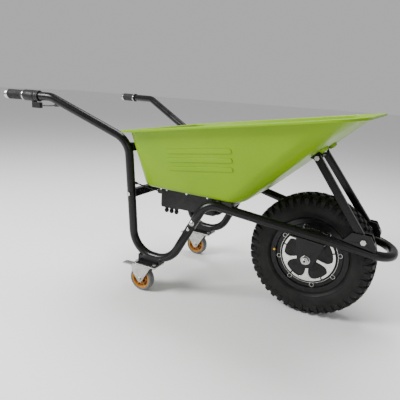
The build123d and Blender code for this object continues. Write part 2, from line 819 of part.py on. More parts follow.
with BuildPart() as cable_grommets:
    add(straight_rod(
        cable_enters - unit(cable_sag, cable_enters) * 44, cable_enters - unit(cable_sag, cable_enters) * 20,
        cable_r + 2.5, cable_r))
    add(straight_rod(
        cable_leaves + unit(cable_leaves, cable_to_box) * 8,
        cable_leaves + unit(cable_leaves, cable_to_box) * 30, cable_r + 2.5, cable_r))
    add(outer_leg_tube, mode=Mode.SUBTRACT)
save(cable_grommets.part, "cable_grommets")

# ---- glands: three under the box, one on its rear wall round the throttle cable's end ----
with BuildPart() as cable_glands:
    for x in (box_rear_x + 10, box_rear_x + 33, box_rear_x + 56):
        with Locations((x, gland_y, box_bottom_z - box_step)):
            Cylinder(gland_r, gland_height, align=(Align.CENTER, Align.CENTER, Align.MAX))
        with Locations((x, gland_y, box_bottom_z - box_step - gland_height)):
            Cone(3, 7.5, 14, align=(Align.CENTER, Align.CENTER, Align.MAX))
    with BuildSketch(Plane(origin=(box_rear_x, cable_gland.Y, cable_gland.Z), z_dir=(-1, 0, 0))):
        Circle(gland_r)
    extrude(amount=cable_gland_reach + gland_height)
    add(throttle_cable, mode=Mode.SUBTRACT)
save(cable_glands.part, "cable_glands")

# ================= drive wheel =================

drive_centre = (wheel_x, 0, tyre_r)


def both_sides(half_outline):
    """Close a half outline, given from the middle outwards and back, with its mirror image."""
    return half_outline + [(radius, -out) for radius, out in reversed(half_outline)]


lip_y = rim_half_width + flange_thickness
casting_ring = revolved_about_axle(both_sides([
    (drum_inner_r, cover_seat_y), (cover_recess_r, cover_seat_y), (cover_recess_r, lip_y),
    (flange_r, lip_y), (flange_r, rim_half_width), (bead_r, rim_half_width),
    (bead_r, rim_half_width - 12), (rim_well_r, rim_half_width - 19)]), *drive_centre)
valve_at = Vector(wheel_x - valve_r, 0, tyre_r)
with BuildPart() as wheel_casting:
    add(casting_ring)
    with BuildSketch(Plane.XZ.offset(valve_start_y)):
        with Locations((valve_at.X, valve_at.Z)):
            Circle(valve_stem_r)
    extrude(amount=60, mode=Mode.SUBTRACT)
save(wheel_casting.part, "wheel_casting")

with BuildPart() as valve_stem:
    with BuildSketch(Plane.XZ.offset(valve_start_y)):
        with Locations((valve_at.X, valve_at.Z)):
            Circle(valve_stem_r)
    extrude(amount=lip_y + 4 - valve_start_y)
    with BuildSketch(Plane.XZ.offset(lip_y + 2)):
        with Locations((valve_at.X, valve_at.Z)):
            Circle(valve_stem_r + 0.8)
    extrude(amount=9)
save(valve_stem.part, "valve_stem")

# ---- tyre: a hollow carcass seated between the rim flanges ----
sidewall_r = (flange_r + tyre_r) / 2 - 4
shoulder_r = tyre_r - 13
shoulder_y = tyre_half_width - 9
inner_side_y = tyre_half_width - tyre_wall
with BuildPart() as tyre:
    with BuildSketch(Plane(origin=drive_centre, x_dir=(1, 0, 0), z_dir=(0, 0, 1))) as tyre_section:
        with BuildLine() as half:
            Line((bead_r, rim_half_width - 11), (bead_r, rim_half_width))
            Line((bead_r, rim_half_width), (flange_r + 1, rim_half_width))
            ThreePointArc(
                (flange_r + 1, rim_half_width), (sidewall_r, tyre_half_width), (shoulder_r, shoulder_y))
            ThreePointArc((shoulder_r, shoulder_y), (tyre_r, 0), (shoulder_r, -shoulder_y))
            ThreePointArc(
                (shoulder_r, -shoulder_y), (sidewall_r, -tyre_half_width), (flange_r + 1, -rim_half_width))
            Line((flange_r + 1, -rim_half_width), (bead_r, -rim_half_width))
            Line((bead_r, -rim_half_width), (bead_r, -rim_half_width + 11))
            Line((bead_r, -rim_half_width + 11), (flange_r + 6, -rim_half_width + 4))
            ThreePointArc(
                (flange_r + 6, -rim_half_width + 4), (sidewall_r, -inner_side_y),
                (shoulder_r - tyre_wall, -shoulder_y + tyre_wall))
            ThreePointArc(
                (shoulder_r - tyre_wall, -shoulder_y + tyre_wall), (tyre_r - tyre_wall - 6, 0),
                (shoulder_r - tyre_wall, shoulder_y - tyre_wall))
            ThreePointArc(
                (shoulder_r - tyre_wall, shoulder_y - tyre_wall), (sidewall_r, inner_side_y),
                (flange_r + 6, rim_half_width - 4))
            Line((flange_r + 6, rim_half_width - 4), (bead_r, rim_half_width - 11))
        make_face()
    revolve(axis=Axis(drive_centre, (0, 1, 0)))
save(tyre.part, "tyre")

# ---- hub covers, bolted on both sides of the drum ----
cover_outline = [
    (bearing_lip_r, -bearing_out_y), (bearing_lip_r, -boss_y), (boss_r, -boss_y), (boss_r + 4, -boss_y + 8),
    (ring_inner_r - 2, -ring_y + 1), (ring_inner_r, -ring_y), (ring_outer_r, -ring_y),
    (ring_outer_r + 1, -cover_face_y), (cover_outer_r, -cover_face_y), (cover_outer_r, -cover_seat_y),
    (drum_inner_r - running_clearance, -cover_seat_y), (drum_inner_r - running_clearance, -cover_seat_y + 4),
    (drum_inner_r - 5, -cover_seat_y + 4), (drum_inner_r - 8, -cover_seat_y - 3),
    (boss_r + 6, -boss_y + 20), (boss_r + 4, -bearing_in_y), (bearing_outer_r, -bearing_in_y),
    (bearing_outer_r, -bearing_out_y)]
with BuildPart() as right_hub_cover:
    add(revolved_about_axle(cover_outline, *drive_centre))
    with BuildSketch(Plane.XZ.offset(cover_seat_y)):
        with Locations((wheel_x, tyre_r)):
            with PolarLocations(cover_bolt_circle_r, cover_bolt_count, start_angle=cover_bolt_phase):
                Circle(cover_bolt_r)
    extrude(amount=40, mode=Mode.SUBTRACT)
    with BuildSketch(Plane.XZ.offset(ring_y - 6)):
        with Locations((wheel_x, tyre_r)):
            with PolarLocations(0, spoke_count, start_angle=spoke_phase):
                with Locations(((spoke_root_r + ring_inner_r) / 2, 0)):
                    Rectangle(ring_inner_r - spoke_root_r, spoke_width)
    extrude(amount=7)
save(right_hub_cover.part, "right_hub_cover")
save(mirrored(right_hub_cover.part), "left_hub_cover")

with BuildPart() as cover_bolts:
    with BuildSketch(Plane.XZ.offset(cover_seat_y)):
        with Locations((wheel_x, tyre_r)):
            with PolarLocations(cover_bolt_circle_r, cover_bolt_count, start_angle=cover_bolt_phase):
                Circle(cover_bolt_r)
    extrude(amount=cover_face_y - cover_seat_y)
    with BuildSketch(Plane.XZ.offset(cover_face_y)):
        with Locations((wheel_x, tyre_r)):
            with PolarLocations(cover_bolt_circle_r, cover_bolt_count, start_angle=cover_bolt_phase):
                Circle(cover_bolt_r + 2.5)
    extrude(amount=3)
    mirror(about=Plane.XZ)
save(cover_bolts.part, "cover_bolts")

with BuildPart() as rotor_magnets:
    with BuildSketch(Plane.XZ.offset(-magnet_half_width)):
        with Locations((wheel_x, tyre_r)):
            Circle(drum_inner_r)
            Circle(magnet_inner_r, mode=Mode.SUBTRACT)
            with PolarLocations(drum_inner_r, magnet_count):
                Rectangle(30, 3, mode=Mode.SUBTRACT)
    extrude(amount=2 * magnet_half_width)
save(rotor_magnets.part, "rotor_magnets")

bearing_outline = [
    (axle_r + running_clearance, -bearing_out_y), (axle_r + running_clearance, -bearing_in_y),
    (bearing_outer_r, -bearing_in_y), (bearing_outer_r, -bearing_out_y)]
with BuildPart() as hub_bearings:
    add(revolved_about_axle(bearing_outline, *drive_centre))
    mirror(about=Plane.XZ)
save(hub_bearings.part, "hub_bearings")

# ---- axle and stator, fixed to the frame ----
collar_y = boss_y + 1
with BuildPart() as axle:
    add(revolved_about_axle([
        (0, -cable_bore_end_y), (cable_bore_r, -cable_bore_end_y), (cable_bore_r, -axle_half_length),
        (axle_end_r, -axle_half_length), (axle_end_r, -bracket_inner_y),
        (axle_collar_r, -bracket_inner_y), (axle_collar_r, -collar_y), (axle_r, -collar_y),
        (axle_r, collar_y), (axle_collar_r, collar_y), (axle_collar_r, bracket_inner_y),
        (axle_end_r, bracket_inner_y), (axle_end_r, axle_half_length), (0, axle_half_length)], *drive_centre))
save(axle.part, "axle")

with BuildPart() as stator:
    with BuildSketch(Plane.XZ.offset(-magnet_half_width)):
        with Locations((wheel_x, tyre_r)):
            Circle(stator_r)
            Circle(stator_r - 30, mode=Mode.SUBTRACT)
            with PolarLocations(stator_r, magnet_count + 3):
                Rectangle(34, 4, mode=Mode.SUBTRACT)
    extrude(amount=2 * magnet_half_width)
    with BuildSketch(Plane.XZ.offset(-magnet_half_width / 2)):
        with Locations((wheel_x, tyre_r)):
            Circle(stator_r - 16)
            Circle(axle_r, mode=Mode.SUBTRACT)
            with PolarLocations(44, 5):
                Circle(13, mode=Mode.SUBTRACT)
    extrude(amount=magnet_half_width)
save(stator.part, "stator")

bracket_outer_y = bracket_inner_y + bracket_thickness
with BuildPart() as axle_fasteners:
    with BuildSketch(Plane.XZ.offset(bracket_outer_y)):
        with Locations((wheel_x, tyre_r)):
            Circle(axle_washer_r)
            Circle(axle_end_r, mode=Mode.SUBTRACT)
    extrude(amount=axle_washer_thickness)
    with BuildSketch(Plane.XZ.offset(bracket_outer_y + axle_washer_thickness)):
        with Locations((wheel_x, tyre_r)):
            RegularPolygon(axle_nut_r, 6)
            Circle(axle_end_r, mode=Mode.SUBTRACT)
    extrude(amount=11)
    mirror(about=Plane.XZ)
save(axle_fasteners.part, "axle_nuts_and_washers")

# ================= casters =================

axle_x = caster_x - caster_trail
caster_axle_centre = (axle_x, -caster_y, caster_wheel_r)
race_bottom = plate_bottom - race_height
crown_top = race_bottom - body_gap
crown_bottom = crown_top - fork_thickness
centre_line = (caster_x, -caster_y)

with BuildPart() as caster_plate:
    with BuildSketch(Plane.XY.offset(plate_bottom)):
        with Locations(centre_line):
            RectangleRounded(caster_plate_x, caster_plate_y, 6)
            with GridLocations(caster_hole_x, caster_hole_y, 2, 2):
                Circle(caster_bolt_r, mode=Mode.SUBTRACT)
    extrude(amount=caster_plate_thickness)
    with BuildSketch(Plane.XY.offset(race_bottom)):
        with Locations(centre_line):
            Circle(race_r)
    extrude(amount=race_height, taper=-8)
    with BuildSketch(Plane.XY.offset(crown_bottom - body_gap)):
        with Locations(centre_line):
            Circle(kingpin_r)
    extrude(amount=race_bottom - crown_bottom + body_gap)
    with BuildSketch(Plane.XY.offset(crown_bottom - body_gap - kingpin_head)):
        with Locations(centre_line):
            Circle(kingpin_r + 4)
    extrude(amount=kingpin_head)
save(caster_plate.part, "right_caster_plate")
save(mirrored(caster_plate.part), "left_caster_plate")

cheek_outer = fork_half_width + fork_thickness
pedal_hinge = Vector(axle_x - pedal_back, -caster_y, pedal_hinge_z)
with BuildPart() as caster_fork:
    with BuildSketch(Plane.XY.offset(crown_bottom)):
        with Locations(centre_line):
            Circle(race_r - 1)
            with Locations((-caster_trail / 2, 0)):
                Rectangle(caster_trail, 2 * cheek_outer)
            Circle(kingpin_r + running_clearance, mode=Mode.SUBTRACT)
    extrude(amount=fork_thickness)
    for side in (1, -1):
        with BuildSketch(Plane.XZ.offset(caster_y + side * (fork_half_width + fork_thickness / 2))):
            with BuildLine():
                CenterArc((axle_x, caster_wheel_r), fork_eye_r, 0, 360)
                Line((pedal_hinge.X, crown_top), (caster_x + race_r * 0.6, crown_top))
                Line((pedal_hinge.X, crown_top), (pedal_hinge.X - 6, pedal_hinge.Z - 5))
            make_hull()
            with Locations((axle_x, caster_wheel_r)):
                Circle(caster_axle_r, mode=Mode.SUBTRACT)
            with Locations((pedal_hinge.X, pedal_hinge.Z)):
                Circle(pedal_hinge_r, mode=Mode.SUBTRACT)
        extrude(amount=fork_thickness / 2, both=True)
save(caster_fork.part, "right_caster_fork")
save(mirrored(caster_fork.part), "left_caster_fork")

with BuildPart() as caster_tread:
    add(revolved_about_axle([
        (core_r, -tread_half_width), (core_r, tread_half_width), (caster_wheel_r - 4, tread_half_width),
        (caster_wheel_r, tread_half_width - 5), (caster_wheel_r, -tread_half_width + 5),
        (caster_wheel_r - 4, -tread_half_width)], *caster_axle_centre))
save(caster_tread.part, "right_caster_tread")
save(mirrored(caster_tread.part), "left_caster_tread")

hub_half_width = fork_half_width - body_gap
with BuildPart() as caster_core:
    add(revolved_about_axle(both_sides([
        (caster_axle_r + running_clearance, hub_half_width), (core_hub_r, hub_half_width),
        (core_hub_r + 2, core_web_half), (core_r - 6, core_web_half), (core_r - 4, tread_half_width - 1),
        (core_r, tread_half_width - 1)]), *caster_axle_centre))
    with BuildSketch(Plane.XZ.offset(caster_y - tread_half_width)):
        with Locations((axle_x, caster_wheel_r)):
            with PolarLocations((core_hub_r + core_r - 2) / 2, core_slot_count):
                SlotOverall(14, 7, rotation=90)
    extrude(amount=2 * tread_half_width, mode=Mode.SUBTRACT)
save(caster_core.part, "right_caster_core")
save(mirrored(caster_core.part), "left_caster_core")

with BuildPart() as caster_axle:
    with BuildSketch(Plane.XZ.offset(caster_y - cheek_outer)):
        with Locations((axle_x, caster_wheel_r)):
            Circle(caster_axle_r)
    extrude(amount=2 * cheek_outer)
    with BuildSketch(Plane.XZ.offset(caster_y + cheek_outer)):
        with Locations((axle_x, caster_wheel_r)):
            RegularPolygon(caster_axle_r + 3.5, 6)
    extrude(amount=5)
    with BuildSketch(Plane.XZ.offset(caster_y - cheek_outer)):
        with Locations((axle_x, caster_wheel_r)):
            RegularPolygon(caster_axle_r + 3.5, 6)
    extrude(amount=-5)
save(caster_axle.part, "right_caster_axle_bolt")
save(mirrored(caster_axle.part), "left_caster_axle_bolt")

# brake pedal: a treadle behind the wheel on a cross pin, with a shoe above the tread
with BuildPart() as brake_pedal:
    with BuildSketch(Plane.XZ.offset(caster_y - cheek_outer)):
        with Locations((pedal_hinge.X, pedal_hinge.Z)):
            Circle(pedal_hinge_r - running_clearance)
    extrude(amount=2 * cheek_outer)
    with BuildSketch(Plane.XZ.offset(caster_y - pedal_half_width)):
        with BuildLine():
            Polyline(
                (pedal_hinge.X + 5, pedal_hinge.Z + 4), (pedal_hinge.X - 14, pedal_hinge.Z + 7),
                (pedal_hinge.X - pedal_length, pedal_hinge.Z + 5),
                (pedal_hinge.X - pedal_length, pedal_hinge.Z + 1),
                (pedal_hinge.X - 14, pedal_hinge.Z + 2), (pedal_hinge.X - 6, pedal_hinge.Z - 5),
                (pedal_hinge.X - 2, pedal_hinge.Z - 3), close=True)
        make_face()
    extrude(amount=2 * pedal_half_width)
save(brake_pedal.part, "right_brake_pedal")
save(mirrored(brake_pedal.part), "left_brake_pedal")
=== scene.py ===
import json
import math
import bmesh
import bpy
from mathutils import Matrix, Vector


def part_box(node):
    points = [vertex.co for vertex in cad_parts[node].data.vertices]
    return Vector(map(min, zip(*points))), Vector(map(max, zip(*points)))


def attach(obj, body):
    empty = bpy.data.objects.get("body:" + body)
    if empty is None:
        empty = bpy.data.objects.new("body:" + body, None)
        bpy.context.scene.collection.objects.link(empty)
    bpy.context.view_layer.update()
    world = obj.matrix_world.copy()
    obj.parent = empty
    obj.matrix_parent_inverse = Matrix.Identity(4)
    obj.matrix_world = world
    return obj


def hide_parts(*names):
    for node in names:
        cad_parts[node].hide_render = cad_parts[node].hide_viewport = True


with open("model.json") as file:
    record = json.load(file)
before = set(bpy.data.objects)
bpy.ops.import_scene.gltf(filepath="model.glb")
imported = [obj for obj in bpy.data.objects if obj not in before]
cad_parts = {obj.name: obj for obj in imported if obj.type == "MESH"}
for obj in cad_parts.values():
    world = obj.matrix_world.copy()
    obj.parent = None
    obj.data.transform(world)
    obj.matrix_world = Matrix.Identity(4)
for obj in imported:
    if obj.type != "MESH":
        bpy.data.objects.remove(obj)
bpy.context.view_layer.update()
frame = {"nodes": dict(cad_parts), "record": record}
nodes = frame["nodes"]

# ---------------------------------------------------------------- places read from the frame


def middle(node):
    low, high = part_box(node)
    return (low + high) / 2


tyre_low, tyre_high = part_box("tyre")
wheel_centre = middle("tyre")
tyre_r = (tyre_high.z - tyre_low.z) / 2

# ---------------------------------------------------------------- material building


def new_material(name, colour, rough, metal=0.0):
    material = bpy.data.materials.new(name)
    material.use_nodes = True
    shader = material.node_tree.nodes["Principled BSDF"]
    shader.inputs["Base Color"].default_value = (*colour, 1.0)
    shader.inputs["Roughness"].default_value = rough
    shader.inputs["Metallic"].default_value = metal
    return material, shader


def add_node(material, kind, **values):
    node = material.node_tree.nodes.new(kind)
    for key, value in values.items():
        node.inputs[key].default_value = value
    return node


def link(material, out_socket, in_socket):
    material.node_tree.links.new(out_socket, in_socket)


def position(material):
    return add_node(material, "ShaderNodeTexCoord").outputs["Object"]


def noise(material, scale, detail=3.0, rough=0.5):
    texture = add_node(material, "ShaderNodeTexNoise", Scale=scale, Detail=detail, Roughness=rough)
    link(material, position(material), texture.inputs["Vector"])
    return texture.outputs["Fac"]


def cells(material, scale):
    texture = add_node(material, "ShaderNodeTexVoronoi", Scale=scale)
    link(material, position(material), texture.inputs["Vector"])
    return texture


def ramp(material, factor, stops):
    """Colours or greys along a factor; stops are (place, (r, g, b))."""
    node = material.node_tree.nodes.new("ShaderNodeValToRGB")
    link(material, factor, node.inputs["Fac"])
    elements = node.color_ramp.elements
    while len(elements) < len(stops):
        elements.new(0.5)
    for element, (place, colour) in zip(elements, stops):
        element.position = place
        element.color = (*colour, 1.0)
    return node.outputs["Color"]


def grey(value):
    return (value, value, value)


def mix_colour(material, factor, first, second):
    node = material.node_tree.nodes.new("ShaderNodeMix")
    node.data_type = "RGBA"
    link(material, factor, node.inputs[0])
    for socket, value in ((node.inputs[6], first), (node.inputs[7], second)):
        if isinstance(value, tuple):
            socket.default_value = (*value, 1.0)
        else:
            link(material, value, socket)
    return node.outputs[2]


def bump(material, shader, height, strength, distance, after=None):
    node = add_node(material, "ShaderNodeBump", Strength=strength, Distance=distance)
    link(material, height, node.inputs["Height"])
    if after is not None:
        link(material, after, node.inputs["Normal"])
    link(material, node.outputs["Normal"], shader.inputs["Normal"])
    return node.outputs["Normal"]


def tub_plastic():
    """Lime moulded polyethylene: faint cloudiness, fine grain, a few rubbed patches."""
    material, shader = new_material("tub_plastic", (0.15, 0.31, 0.0), 0.4)
    cloud = ramp(
        material, noise(material, 5.0, 4.0), [(0.3, (0.150, 0.285, 0.0)), (0.7, (0.182, 0.325, 0.0))])
    speck = ramp(material, noise(material, 220.0, 2.0), [(0.42, grey(0.0)), (0.75, grey(0.35))])
    link(material, mix_colour(material, speck, cloud, (0.19, 0.35, 0.002)), shader.inputs["Base Color"])
    rough = ramp(material, noise(material, 14.0, 5.0), [(0.3, grey(0.30)), (0.7, grey(0.44))])
    link(material, rough, shader.inputs["Roughness"])
    shader.inputs["Specular IOR Level"].default_value = 0.2
    shader.inputs["Subsurface Weight"].default_value = 0.02
    shader.inputs["Subsurface Radius"].default_value = (0.006, 0.008, 0.002)
    grain = bump(material, shader, noise(material, 900.0, 2.0), 0.12, 0.0006)
    bump(material, shader, noise(material, 9.0, 2.0), 0.10, 0.004, grain)
    return material


def frame_paint():
    """Black powder coat: orange peel, slight sheen changes, tiny dust specks."""
    material, shader = new_material("frame_paint", (0.003, 0.003, 0.003), 0.3)
    dust = ramp(
        material, noise(material, 130.0, 5.0),
        [(0.55, (0.003, 0.003, 0.003)), (0.85, (0.012, 0.012, 0.011))])
    link(material, dust, shader.inputs["Base Color"])
    shader.inputs["Specular IOR Level"].default_value = 0.28
    rough = ramp(material, noise(material, 18.0, 4.0), [(0.3, grey(0.22)), (0.75, grey(0.34))])
    link(material, rough, shader.inputs["Roughness"])
    bump(material, shader, noise(material, 420.0, 2.0), 0.16, 0.0008)
    return material


def zinc_plate(name="zinc_plate", colour=(0.56, 0.56, 0.54), low=0.20, high=0.36):
    """Bright zinc: metal with soft blotches and fine drawing lines."""
    material, shader = new_material(name, colour, 0.3, 1.0)
    darker = tuple(0.72 * channel for channel in colour)
    blotch = ramp(material, noise(material, 55.0, 5.0), [(0.3, darker), (0.7, colour)])
    link(material, blotch, shader.inputs["Base Color"])
    spangle = ramp(
        material, cells(material, 260.0).outputs["Distance"], [(0.1, grey(low)), (0.8, grey(high))])
    link(material, spangle, shader.inputs["Roughness"])
    bump(material, shader, noise(material, 600.0, 3.0), 0.10, 0.0005)
    return material


def tyre_rubber():
    """Matt black rubber with mould bloom, dust in the hollows and a fine pitted skin."""
    material, shader = new_material("tyre_rubber", (0.005, 0.005, 0.005), 0.62)
    bloom = ramp(
        material, noise(material, 28.0, 6.0, 0.6),
        [(0.35, (0.004, 0.004, 0.004)), (0.8, (0.014, 0.014, 0.013))])
    link(material, bloom, shader.inputs["Base Color"])
    shader.inputs["Specular IOR Level"].default_value = 0.22
    rough = ramp(material, noise(material, 90.0, 4.0), [(0.3, grey(0.42)), (0.7, grey(0.66))])
    link(material, rough, shader.inputs["Roughness"])
    skin = bump(material, shader, noise(material, 1500.0, 2.0), 0.25, 0.0006)
    bump(material, shader, cells(material, 320.0).outputs["Distance"], 0.10, 0.0006, skin)
    return material


def hub_paint():
    """Satin black paint over a sand casting."""
    material, shader = new_material("hub_paint", (0.004, 0.004, 0.004), 0.3)
    tone = ramp(
        material, noise(material, 70.0, 4.0), [(0.35, (0.003, 0.003, 0.003)), (0.8, (0.011, 0.011, 0.011))])
    link(material, tone, shader.inputs["Base Color"])
    shader.inputs["Specular IOR Level"].default_value = 0.28
    rough = ramp(material, noise(material, 45.0, 4.0), [(0.3, grey(0.28)), (0.7, grey(0.46))])
    link(material, rough, shader.inputs["Roughness"])
    bump(material, shader, noise(material, 700.0, 3.0), 0.2, 0.0008)
    return material


def machined_metal():
    """Bare turned aluminium: fine rings about the wheel's axle and a faint haze."""
    material, shader = new_material("machined_metal", (0.86, 0.86, 0.85), 0.26, 1.0)
    wave = material.node_tree.nodes.new("ShaderNodeTexWave")
    wave.wave_type = "RINGS"
    wave.rings_direction = "Y"
    wave.inputs["Scale"].default_value = 900.0
    wave.inputs["Distortion"].default_value = 0.4
    mapping = material.node_tree.nodes.new("ShaderNodeMapping")
    mapping.inputs["Location"].default_value = -wheel_centre
    link(material, position(material), mapping.inputs["Vector"])
    link(material, mapping.outputs["Vector"], wave.inputs["Vector"])
    tone = ramp(material, noise(material, 60.0, 4.0), [(0.3, (0.66, 0.66, 0.63)), (0.7, (0.84, 0.84, 0.81))])
    link(material, tone, shader.inputs["Base Color"])
    rough = ramp(material, noise(material, 150.0, 3.0), [(0.3, grey(0.2)), (0.7, grey(0.36))])
    link(material, rough, shader.inputs["Roughness"])
    bump(material, shader, wave.outputs["Fac"], 0.06, 0.0003)
    return material


def moulded_black(name="moulded_black", base=(0.006, 0.006, 0.006), rough_low=0.38, rough_high=0.56):
    """Black moulded plastic with a spark-eroded grain."""
    material, shader = new_material(name, base, 0.5)
    lighter = tuple(2.4 * channel for channel in base)
    shader.inputs["Specular IOR Level"].default_value = 0.3
    tone = ramp(material, noise(material, 50.0, 4.0), [(0.35, base), (0.85, lighter)])
    link(material, tone, shader.inputs["Base Color"])
    rough = ramp(material, noise(material, 120.0, 3.0), [(0.3, grey(rough_low)), (0.7, grey(rough_high))])
    link(material, rough, shader.inputs["Roughness"])
    bump(material, shader, cells(material, 1400.0).outputs["Distance"], 0.18, 0.0004)
    return material


def grey_rubber():
    """Caster tread: grey rubber, scuffed lighter in patches."""
    material, shader = new_material("grey_rubber", (0.10, 0.105, 0.10), 0.55)
    tone = ramp(
        material, noise(material, 90.0, 5.0), [(0.3, (0.075, 0.08, 0.076)), (0.75, (0.14, 0.145, 0.14))])
    link(material, tone, shader.inputs["Base Color"])
    bump(material, shader, noise(material, 1100.0, 2.0), 0.2, 0.0005)
    return material


def amber_nylon():
    """Caster core: amber nylon with flow clouds."""
    material, shader = new_material("amber_nylon", (0.48, 0.20, 0.008), 0.34)
    tone = ramp(
        material, noise(material, 60.0, 4.0), [(0.3, (0.30, 0.105, 0.003)), (0.7, (0.46, 0.215, 0.010))])
    link(material, tone, shader.inputs["Base Color"])
    rough = ramp(material, noise(material, 200.0, 3.0), [(0.3, grey(0.26)), (0.7, grey(0.42))])
    link(material, rough, shader.inputs["Roughness"])
    shader.inputs["Subsurface Weight"].default_value = 0.08
    shader.inputs["Subsurface Radius"].default_value = (0.004, 0.002, 0.0005)
    bump(material, shader, noise(material, 500.0, 2.0), 0.1, 0.0004)
    return material


def plain_paint(name, colour):
    """Gloss-coloured trim with a slight mottle."""
    material, shader = new_material(name, colour, 0.4)
    darker = tuple(0.7 * channel for channel in colour)
    tone = ramp(material, noise(material, 80.0, 4.0), [(0.3, darker), (0.7, colour)])
    link(material, tone, shader.inputs["Base Color"])
    bump(material, shader, noise(material, 800.0, 2.0), 0.1, 0.0004)
    return material


GREEN = tub_plastic()
BLACK = frame_paint()
ZINC = zinc_plate()
STEEL = zinc_plate("bolt_steel", (0.50, 0.50, 0.49), 0.14, 0.28)
RUBBER = tyre_rubber()
HUB = hub_paint()
BARE = machined_metal()
PLASTIC = moulded_black()
GRIP = moulded_black("grip_rubber", (0.009, 0.009, 0.009), 0.5, 0.7)
TREAD = grey_rubber()
AMBER = amber_nylon()
CABLE = moulded_black("cable_sheath", (0.006, 0.006, 0.006), 0.3, 0.45)
YELLOW = plain_paint("valve_cap_yellow", (0.85, 0.45, 0.02))
# Dark red for the caster core's slots is painted shade: it stands in for the dark seen through the slots,
# not the nylon's own colour.
SLOT_SHADE_RED = plain_paint("core_slot_painted_shade", (0.16, 0.02, 0.012))
BATTERY = plain_paint("battery_sleeve", (0.03, 0.08, 0.28))

# ---------------------------------------------------------------- mesh building


def mesh_piece(name, points, faces, material, body, smooth=True):
    mesh = bpy.data.meshes.new(name)
    mesh.from_pydata([tuple(point) for point in points], [], faces)
    mesh.materials.append(material)
    piece = bpy.data.objects.new(name, mesh)
    bpy.context.scene.collection.objects.link(piece)
    clean = bmesh.new()
    clean.from_mesh(mesh)
    bmesh.ops.recalc_face_normals(clean, faces=clean.faces)
    clean.to_mesh(mesh)
    clean.free()
    mesh.polygons.foreach_set("use_smooth", [smooth] * len(mesh.polygons))
    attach(piece, body)
    return piece


def bevel(piece, width, segments=2, angle=35):
    modifier = piece.modifiers.new("edge_round", "BEVEL")
    modifier.width = width
    modifier.segments = segments
    modifier.limit_method = "ANGLE"
    modifier.angle_limit = math.radians(angle)
    modifier.harden_normals = True
    return piece


def weld(piece, distance=0.00002):
    modifier = piece.modifiers.new("join_seams", "WELD")
    modifier.merge_threshold = distance
    return piece


def dress(name, material, edge=0.0):
    """A CAD node keeps its shape and gets a finish, its seams joined and its edges softened."""
    piece = nodes[name]
    piece.data.materials.clear()
    piece.data.materials.append(material)
    if edge:
        weld(piece)
        bevel(piece, edge)
    return piece


def strips(rows, closed_rows=False, closed_ring=True):
    """Quads between rows of points of equal length."""
    count = len(rows[0])
    faces = []
    last_row = len(rows) if closed_rows else len(rows) - 1
    last_point = count if closed_ring else count - 1
    for i in range(last_row):
        j = (i + 1) % len(rows)
        for k in range(last_point):
            m = (k + 1) % count
            faces.append((i * count + k, i * count + m, j * count + m, j * count + k))
    return faces


def smooth_profile(profile, steps=4):
    """Corners of an open (radius, offset) outline rounded by the third value of each point."""
    rounded = []
    for index, point in enumerate(profile):
        size = point[2] if len(point) > 2 else 0.0
        here = Vector(point[:2])
        if not size or index in (0, len(profile) - 1):
            rounded.append(here)
            continue
        before = Vector(profile[index - 1][:2])
        after = Vector(profile[index + 1][:2])
        start = here + (before - here).normalized() * min(size, (before - here).length * 0.49)
        end = here + (after - here).normalized() * min(size, (after - here).length * 0.49)
        for step in range(steps + 1):
            t = step / steps
            rounded.append(start * (1 - t) ** 2 + here * 2 * t * (1 - t) + end * t * t)
    return rounded


def turned(name, profile, origin, axis, material, body, around=96, closed=False):
    """A piece turned about an axis from a (radius, distance along the axis) outline."""
    axis = Vector(axis).normalized()
    side = axis.orthogonal().normalized()
    other = axis.cross(side)
    rows = []
    for radius, out in smooth_profile(profile):
        ring = []
        for k in range(around):
            angle = math.tau * k / around
            ring.append(origin + axis * out + (side * math.cos(angle) + other * math.sin(angle)) * radius)
        rows.append(ring)
    points = [point for ring in rows for point in ring]
    return mesh_piece(name, points, strips(rows, closed_rows=closed), material, body)


def plate(name, outline, centre, inner_y, outer_y, material, body, edge=0.0006):
    """A flat piece facing along Y from an outline of (x, z) points about a centre."""
    count = len(outline)
    points = [centre + Vector((x, inner_y, z)) for x, z in outline]
    points += [centre + Vector((x, outer_y, z)) for x, z in outline]
    faces = [tuple(range(count)), tuple(range(count, 2 * count))]
    faces += [(k, (k + 1) % count, count + (k + 1) % count, count + k) for k in range(count)]
    piece = mesh_piece(name, points, faces, material, body, smooth=True)
    bevel(piece, edge)
    return piece


# ---------------------------------------------------------------- tub

FLOOR_REAR = Vector((wheel_centre.x - 0.624, 0, 0.409))
FLOOR_LENGTH = 0.403
FLOOR_HALF = (0.192, 0.204)
FLOOR_CORNER = (0.048, 0.062)
RIM_REAR = Vector((wheel_centre.x - 0.646, 0, 0.622))
RIM_FRONT = Vector((wheel_centre.x + 0.133, 0, 0.733))
RIM_HALF = (0.270, 0.350)
RIM_CORNER = (0.046, 0.085)
FLANGE = 0.024
FLANGE_CORNER = (0.046, 0.095)
WALL = 0.005
EDGE_ROUND = 0.030


ARC_STEPS = 9
RUN_STEPS = 12


